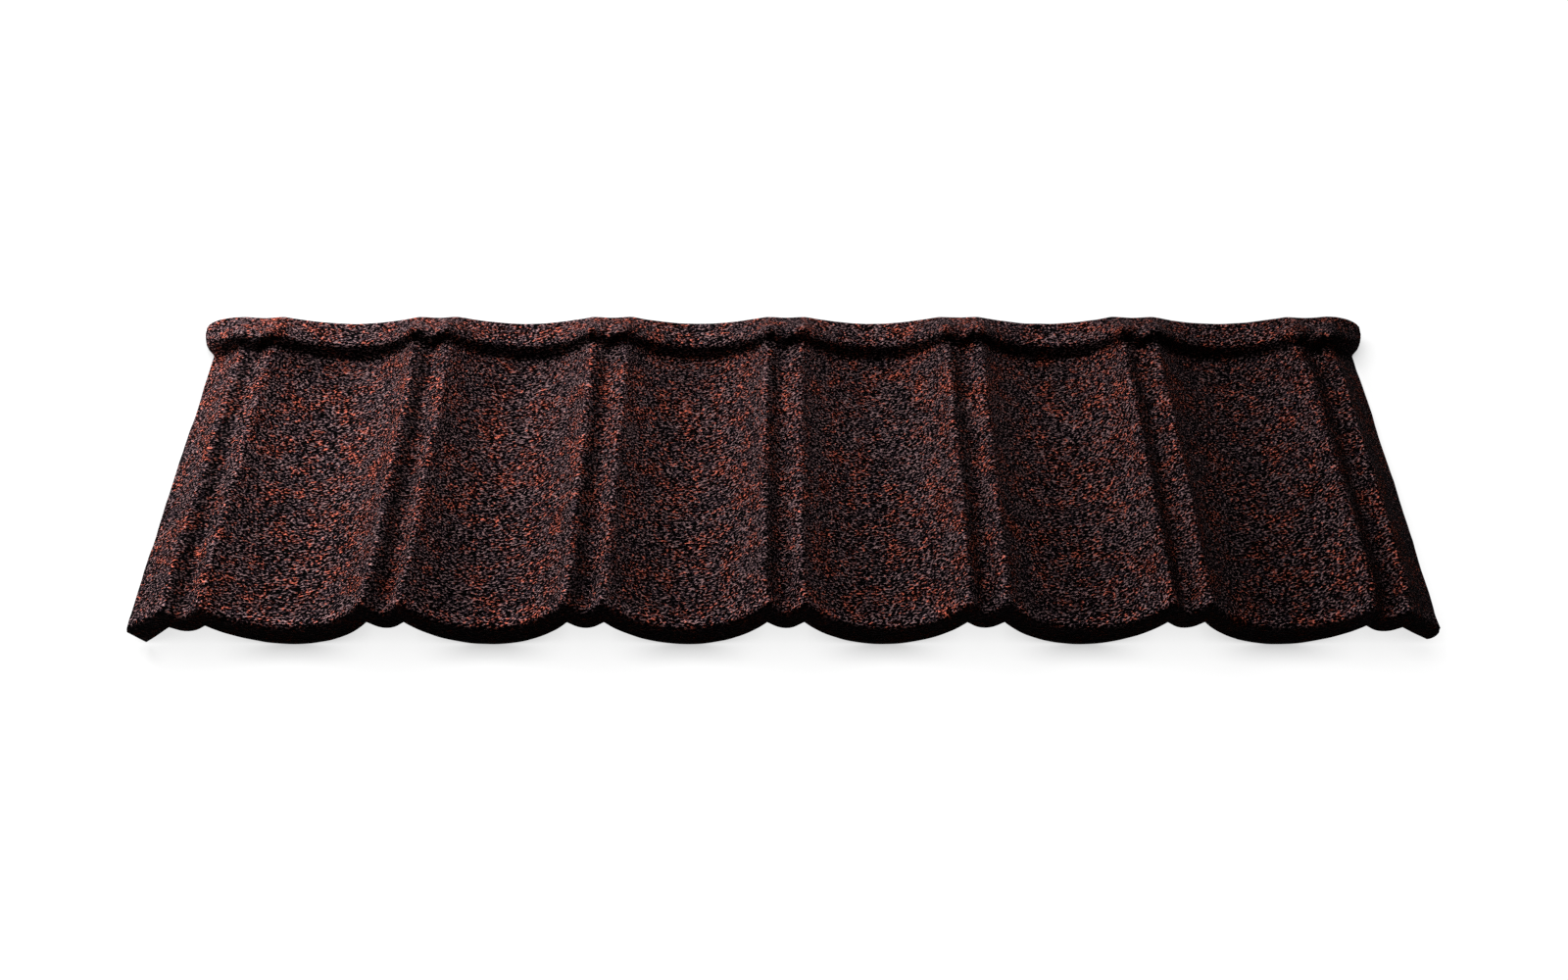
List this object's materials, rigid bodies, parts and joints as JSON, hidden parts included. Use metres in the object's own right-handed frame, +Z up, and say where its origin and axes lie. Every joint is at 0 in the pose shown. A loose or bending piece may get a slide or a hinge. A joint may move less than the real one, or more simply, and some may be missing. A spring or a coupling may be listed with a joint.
{
  "type": "stone-coated roofing sheet",
  "caption": "Pressed roofing sheet with sagging pans between twin-crested ribs, a turned-down nose and a raised rear bead, coated in stone granules.",
  "frame": {"origin": "middle of the sheet's footprint, on the floor it lies on", "axes": "+X across the ribs, to the right as seen from the nose; +Y from the nose towards the rear bead; +Z up. The sheet lies as it rests unheld, on its nose rim and its rear fold, so its field falls 4 degrees towards the rear."},
  "size_m": [1.3546, 0.4232, 0.0712],
  "materials": {
    "stone_coating": "matte bonded stone granules, near-black brown flecked with brick red"
  },
  "bodies": {
    "root": {"roofing_sheet": "stone_coating"}
  },
  "joints": []
}
